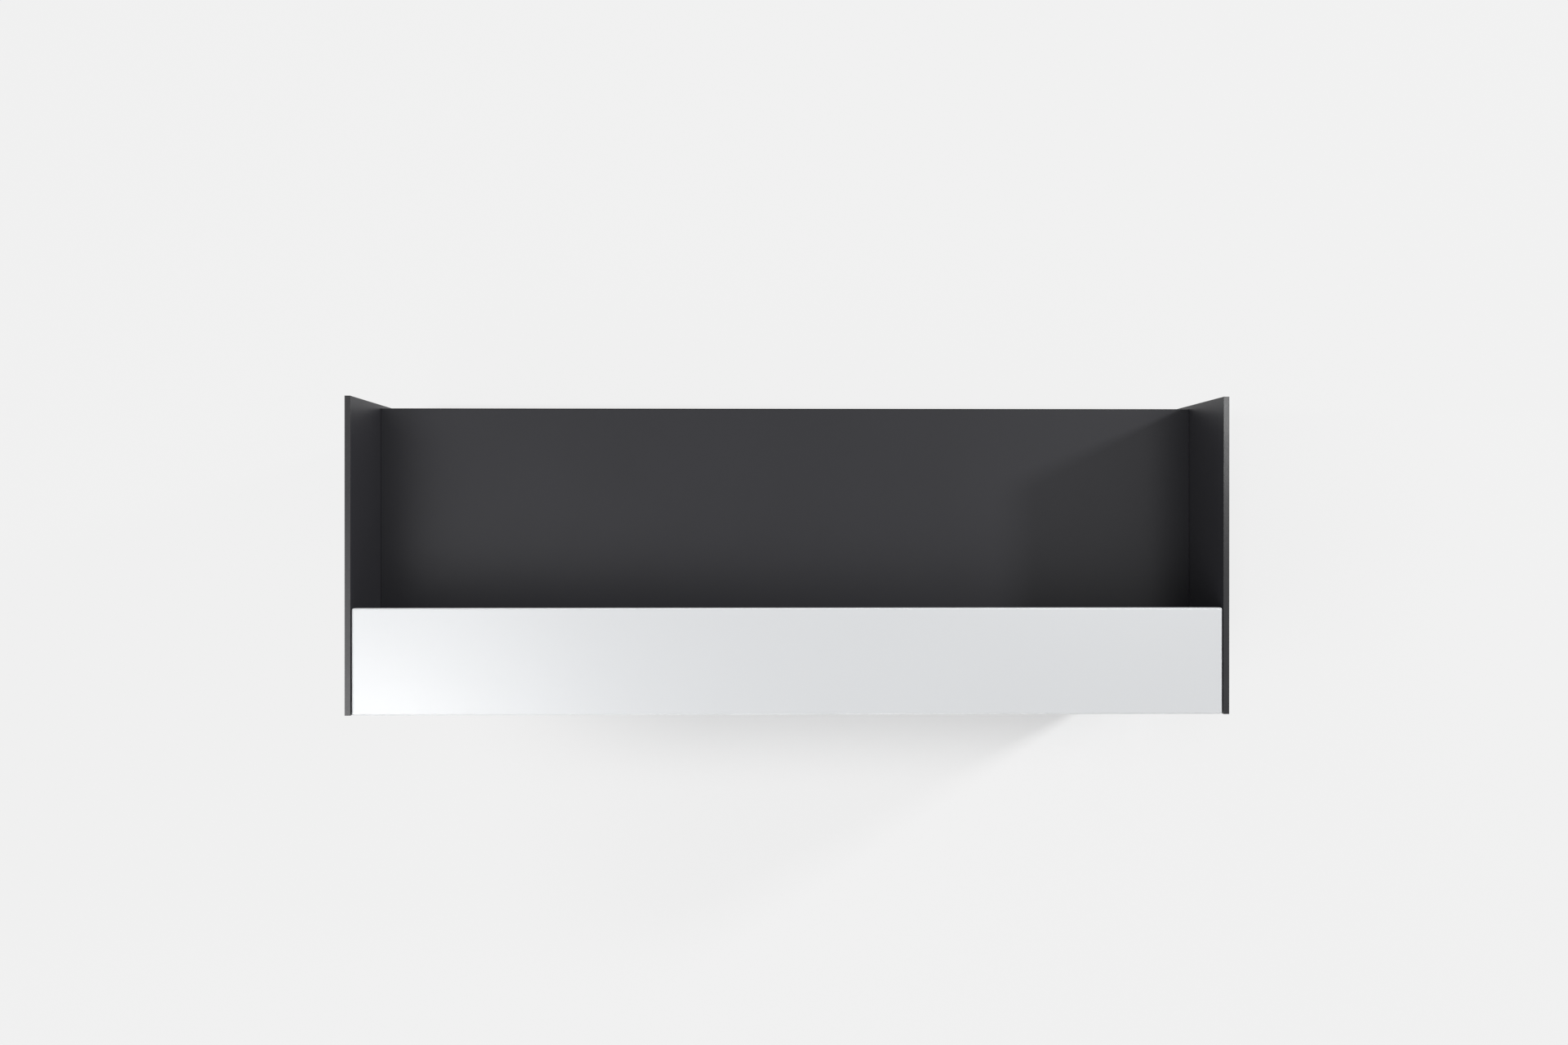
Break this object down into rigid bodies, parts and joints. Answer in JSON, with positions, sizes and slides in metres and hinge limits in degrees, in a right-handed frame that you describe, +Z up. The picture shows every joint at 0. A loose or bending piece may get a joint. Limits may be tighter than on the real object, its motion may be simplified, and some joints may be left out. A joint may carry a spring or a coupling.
{
  "type": "reception desk",
  "caption": "Straight reception desk: dark end panels and lower worktop, a white gloss visitor counter and front, hidden steel brackets, a cable tray and levelling feet.",
  "frame": {"origin": "on the floor under the middle of the desk's box", "axes": "+X to the visitor's right along the desk, +Y towards the receptionist, +Z up"},
  "size_m": [2.4, 0.865, 1.1],
  "materials": {
    "dark_melamine": "anthracite melamine-faced board, fine pearl texture, satin",
    "dark_edging": "anthracite plastic edge banding, satin",
    "white_lacquer": "white high-gloss lacquer on fibreboard",
    "powder_coat": "fine-textured aluminium-grey powder coat",
    "zinc_steel": "bright zinc plate",
    "zinc_cam": "die-cast zinc, dull",
    "beech": "raw beech",
    "black_nylon": "moulded black nylon"
  },
  "bodies": {
    "desk": {"end_panel_left": "dark_melamine", "end_panel_right": "dark_melamine", "worktop": "dark_melamine", "modesty_panel": "dark_melamine", "edging_left": "dark_edging", "edging_right": "dark_edging", "worktop_edging": "dark_edging", "modesty_edging": "dark_edging", "counter_top": "white_lacquer", "front_fascia": "white_lacquer", "worktop_cleat_left": "powder_coat", "worktop_cleat_right": "powder_coat", "counter_cleat_left": "powder_coat", "counter_cleat_right": "powder_coat", "worktop_bracket_1": "powder_coat", "worktop_bracket_2": "powder_coat", "worktop_bracket_3": "powder_coat", "worktop_bracket_4": "powder_coat", "counter_bracket_1": "powder_coat", "counter_bracket_2": "powder_coat", "counter_bracket_3": "powder_coat", "counter_bracket_4": "powder_coat", "worktop_rail": "powder_coat", "rail_plate_left": "powder_coat", "rail_plate_right": "powder_coat", "cable_tray": "powder_coat", "foot_bracket_back_left": "powder_coat", "foot_bracket_back_right": "powder_coat", "foot_bracket_front_left": "powder_coat", "foot_bracket_front_right": "powder_coat", "foot_bracket_middle_left": "powder_coat", "foot_bracket_middle_right": "powder_coat", "panel_screws_left": "zinc_steel", "panel_screws_right": "zinc_steel", "modesty_screws": "zinc_steel", "worktop_screws": "zinc_steel", "counter_screws": "zinc_steel", "fascia_screws": "zinc_steel", "rail_screws": "zinc_steel", "cam_bolts": "zinc_steel", "foot_nuts": "zinc_steel", "cam_housings": "zinc_cam", "end_dowels": "beech", "counter_dowels": "beech"},
    "foot_back_left": {"foot_stud_back_left": "zinc_steel", "foot_pad_back_left": "black_nylon"},
    "foot_back_right": {"foot_stud_back_right": "zinc_steel", "foot_pad_back_right": "black_nylon"},
    "foot_front_left": {"foot_stud_front_left": "zinc_steel", "foot_pad_front_left": "black_nylon"},
    "foot_front_right": {"foot_stud_front_right": "zinc_steel", "foot_pad_front_right": "black_nylon"},
    "foot_middle_left": {"foot_stud_middle_left": "zinc_steel", "foot_pad_middle_left": "black_nylon"},
    "foot_middle_right": {"foot_stud_middle_right": "zinc_steel", "foot_pad_middle_right": "black_nylon"}
  },
  "joints": [
    {"name": "foot_back_left_travel", "type": "slide", "parent": "desk", "child": "foot_back_left", "axis": [0, 0, -1], "range_m": [0, 0.015]},
    {"name": "foot_back_right_travel", "type": "slide", "parent": "desk", "child": "foot_back_right", "axis": [0, 0, -1], "range_m": [0, 0.015]},
    {"name": "foot_front_left_travel", "type": "slide", "parent": "desk", "child": "foot_front_left", "axis": [0, 0, -1], "range_m": [0, 0.015]},
    {"name": "foot_front_right_travel", "type": "slide", "parent": "desk", "child": "foot_front_right", "axis": [0, 0, -1], "range_m": [0, 0.015]},
    {"name": "foot_middle_left_travel", "type": "slide", "parent": "desk", "child": "foot_middle_left", "axis": [0, 0, -1], "range_m": [0, 0.015]},
    {"name": "foot_middle_right_travel", "type": "slide", "parent": "desk", "child": "foot_middle_right", "axis": [0, 0, -1], "range_m": [0, 0.015]}
  ]
}
